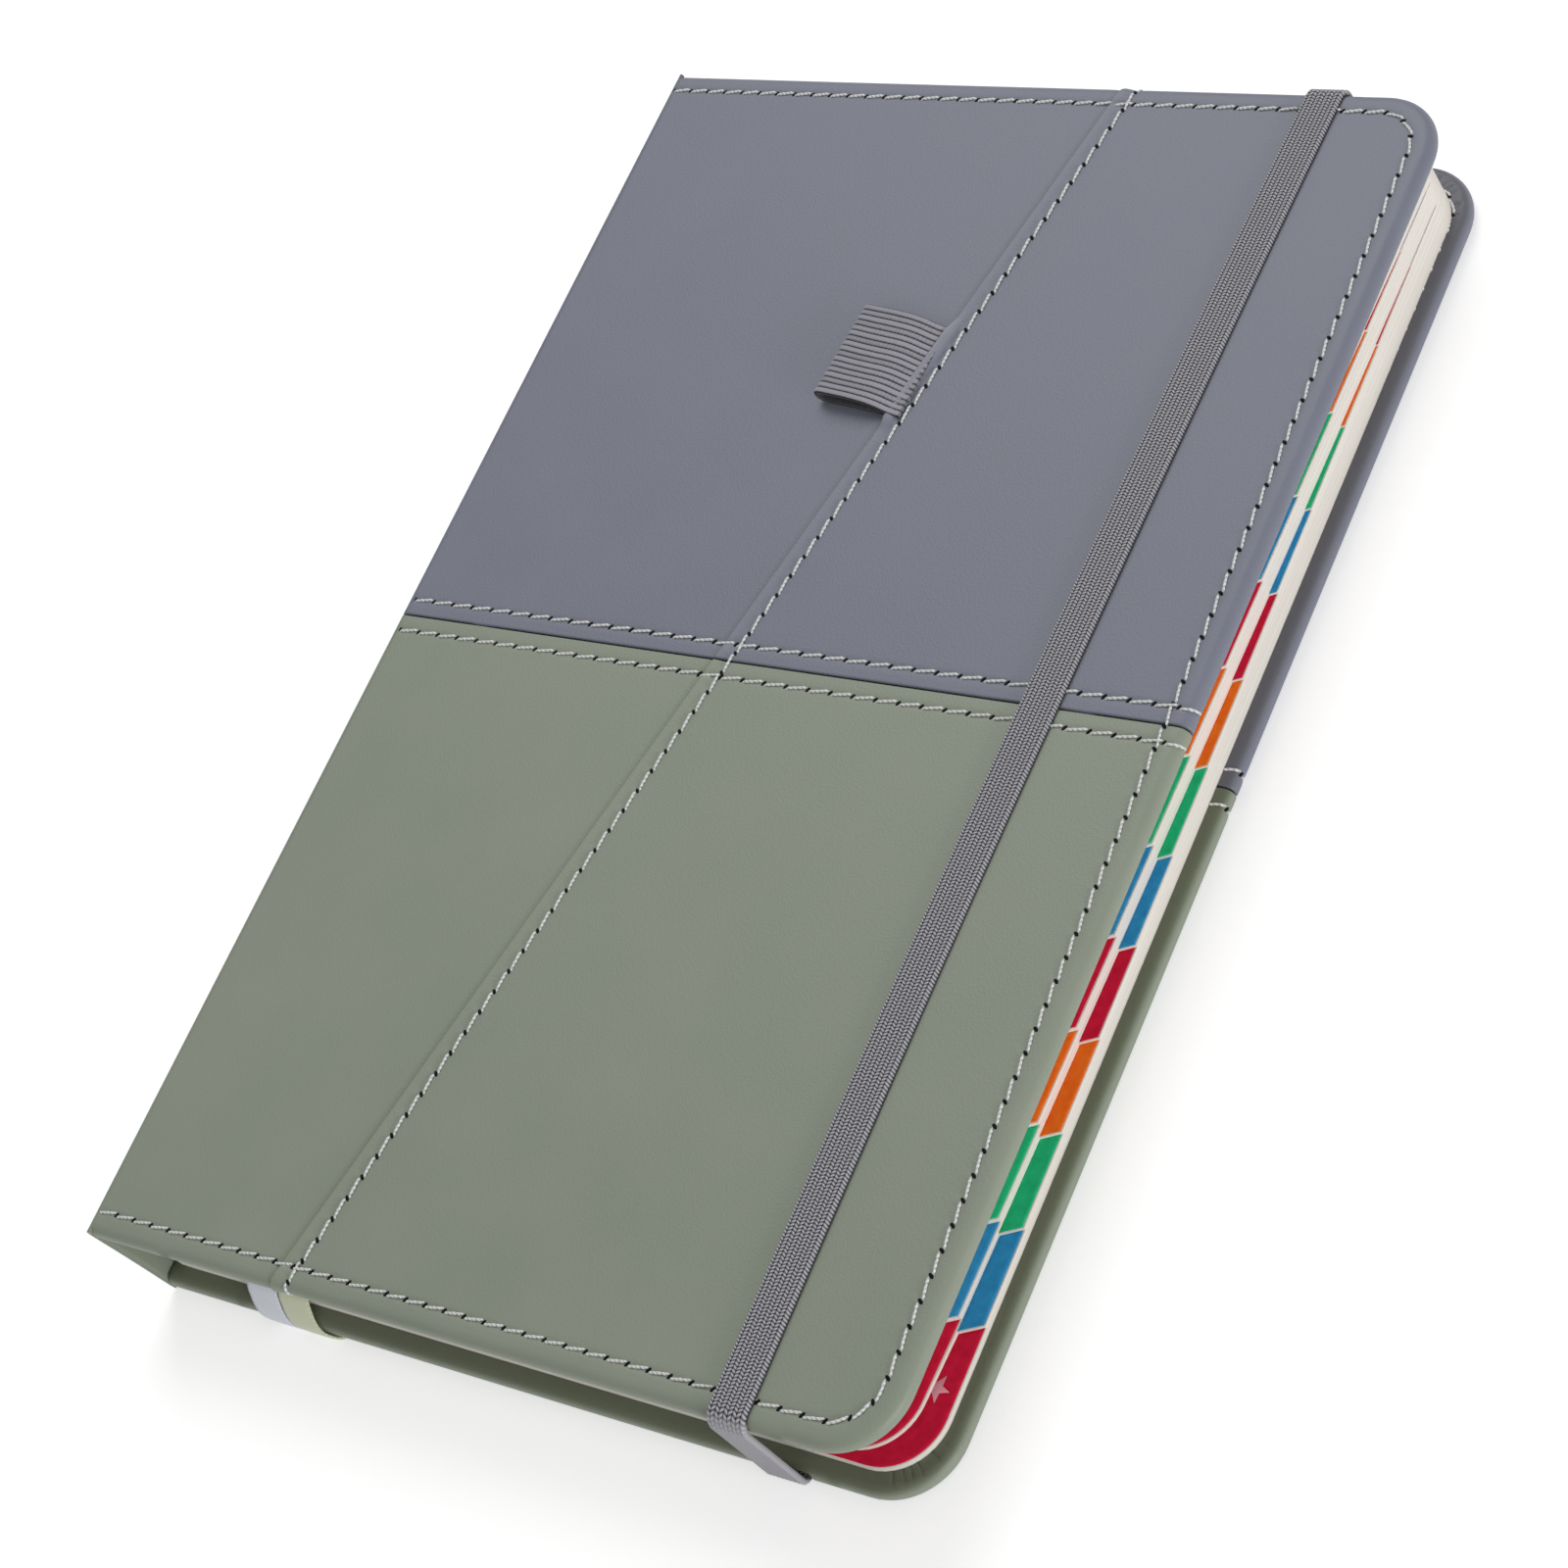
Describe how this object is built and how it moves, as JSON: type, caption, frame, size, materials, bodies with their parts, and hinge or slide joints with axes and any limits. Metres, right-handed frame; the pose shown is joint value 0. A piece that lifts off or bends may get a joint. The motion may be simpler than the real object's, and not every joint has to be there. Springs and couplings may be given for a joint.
{
  "type": "address notebook",
  "caption": "Closed hardcover address notebook in grey and green leatherette, with stepped index pages, ribbons, a pen loop and an elastic closing band.",
  "frame": {"origin": "under the middle of the closed notebook, on the back cover's outer face", "axes": "+X from the spine to the fore edge, +Y to the head, +Z from the back cover to the front cover"},
  "size_m": [0.143, 0.2172, 0.0224],
  "materials": {
    "grey_leatherette": "smooth satin leatherette with a fine grain",
    "green_leatherette": "smooth satin leatherette with a fine grain",
    "board": "plain grey board",
    "endpaper": "matte endpaper",
    "pages": "matte cream pages with printed index strips",
    "elastic": "knitted elastic with ridges along its length",
    "blue_ribbon": "woven satin ribbon",
    "green_ribbon": "woven satin ribbon"
  },
  "bodies": {
    "text_block": {"page_block": "pages", "spine_board": "board", "spine_panel_grey": "grey_leatherette", "spine_panel_green": "green_leatherette", "ribbon_blue": "blue_ribbon", "ribbon_green": "green_ribbon"},
    "front_cover": {"front_board": "board", "front_panel_grey_left": "grey_leatherette", "front_panel_grey_right": "grey_leatherette", "front_panel_green_left": "green_leatherette", "front_panel_green_right": "green_leatherette", "front_lining": "endpaper", "pen_loop": "elastic"},
    "back_cover": {"back_board": "board", "back_panel_grey": "grey_leatherette", "back_panel_green": "green_leatherette", "back_lining": "endpaper", "elastic_band": "elastic"}
  },
  "joints": [
    {"name": "front_cover_hinge", "type": "hinge", "parent": "text_block", "child": "front_cover", "pos_m": [-0.0699, 0, 0.0178], "axis": [0, -1, 0], "range_deg": [0, 180], "deforming": ["elastic_band"]},
    {"name": "back_cover_hinge", "type": "hinge", "parent": "text_block", "child": "back_cover", "pos_m": [-0.0669, 0, 0.0016], "axis": [0, 1, 0], "range_deg": [0, 180]}
  ]
}
